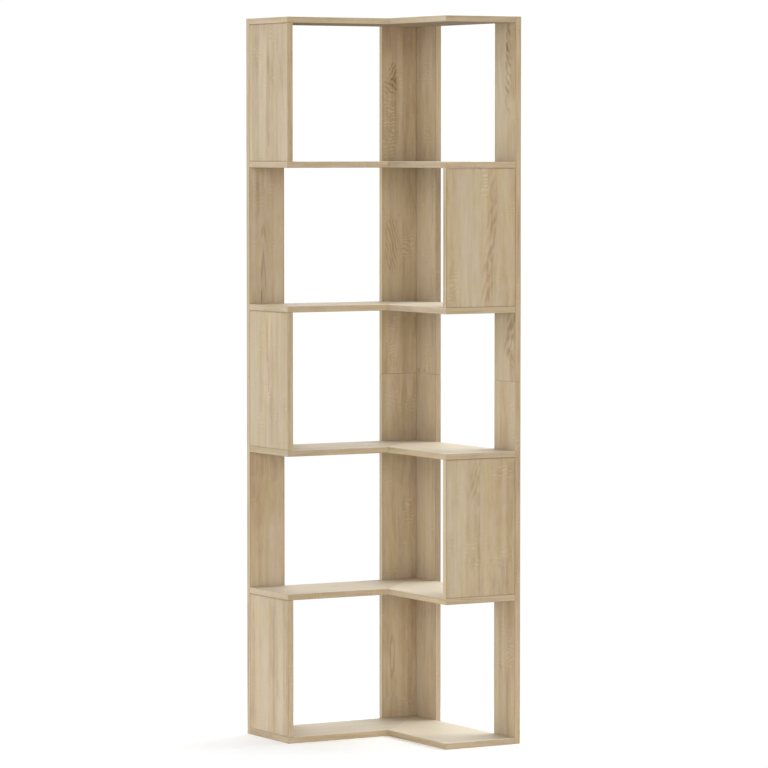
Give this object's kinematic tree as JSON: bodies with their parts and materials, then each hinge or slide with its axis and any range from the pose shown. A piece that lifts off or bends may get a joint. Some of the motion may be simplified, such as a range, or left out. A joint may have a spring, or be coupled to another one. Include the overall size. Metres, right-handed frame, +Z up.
{
  "type": "corner shelf unit",
  "caption": "Tall open corner shelf unit: L-shaped shelves on narrow uprights along two walls, with end panels that alternate between the wings.",
  "frame": {"origin": "middle of the square footprint, at the floor", "axes": "+Z up; +Y towards the wall behind the left wing and +X towards the wall behind the right wing, so the outer corner is at +X +Y and the room lies towards -X and -Y"},
  "size_m": [0.5, 0.5, 1.8],
  "materials": {
    "oak_board": "matt pale oak-look laminate with a fine grain",
    "screw_steel": "zinc-plated, satin",
    "dowel_wood": "raw turned beech"
  },
  "bodies": {
    "root": {"shelf_1": "oak_board", "shelf_2": "oak_board", "shelf_3": "oak_board", "shelf_4": "oak_board", "shelf_5": "oak_board", "shelf_6": "oak_board", "upright_left_end_lower": "oak_board", "upright_left_end_upper": "oak_board", "upright_left_corner_lower": "oak_board", "upright_left_corner_upper": "oak_board", "upright_right_corner_lower": "oak_board", "upright_right_corner_upper": "oak_board", "upright_right_end_lower": "oak_board", "upright_right_end_upper": "oak_board", "end_panel_left_tier_1": "oak_board", "end_panel_left_tier_3": "oak_board", "end_panel_left_tier_5": "oak_board", "end_panel_right_tier_2": "oak_board", "end_panel_right_tier_4": "oak_board", "screw_left_end_shelf_1": "screw_steel", "screw_left_end_shelf_2": "screw_steel", "screw_left_end_shelf_3": "screw_steel", "screw_left_end_shelf_4": "screw_steel", "screw_left_end_shelf_5": "screw_steel", "screw_left_end_shelf_6": "screw_steel", "screw_left_corner_shelf_1": "screw_steel", "screw_left_corner_shelf_2": "screw_steel", "screw_left_corner_shelf_3": "screw_steel", "screw_left_corner_shelf_4": "screw_steel", "screw_left_corner_shelf_5": "screw_steel", "screw_left_corner_shelf_6": "screw_steel", "screw_right_corner_shelf_1": "screw_steel", "screw_right_corner_shelf_2": "screw_steel", "screw_right_corner_shelf_3": "screw_steel", "screw_right_corner_shelf_4": "screw_steel", "screw_right_corner_shelf_5": "screw_steel", "screw_right_corner_shelf_6": "screw_steel", "screw_right_end_shelf_1": "screw_steel", "screw_right_end_shelf_2": "screw_steel", "screw_right_end_shelf_3": "screw_steel", "screw_right_end_shelf_4": "screw_steel", "screw_right_end_shelf_5": "screw_steel", "screw_right_end_shelf_6": "screw_steel", "screw_column_lower": "screw_steel", "screw_column_upper": "screw_steel", "dowel_splice_left_end": "dowel_wood", "dowel_splice_left_corner": "dowel_wood", "dowel_splice_right_corner": "dowel_wood", "dowel_splice_right_end": "dowel_wood", "dowel_left_tier_1_bottom": "dowel_wood", "dowel_left_tier_1_top": "dowel_wood", "dowel_left_tier_3_bottom": "dowel_wood", "dowel_left_tier_3_top": "dowel_wood", "dowel_left_tier_5_bottom": "dowel_wood", "dowel_left_tier_5_top": "dowel_wood", "dowel_right_tier_2_bottom": "dowel_wood", "dowel_right_tier_2_top": "dowel_wood", "dowel_right_tier_4_bottom": "dowel_wood", "dowel_right_tier_4_top": "dowel_wood"}
  },
  "joints": []
}
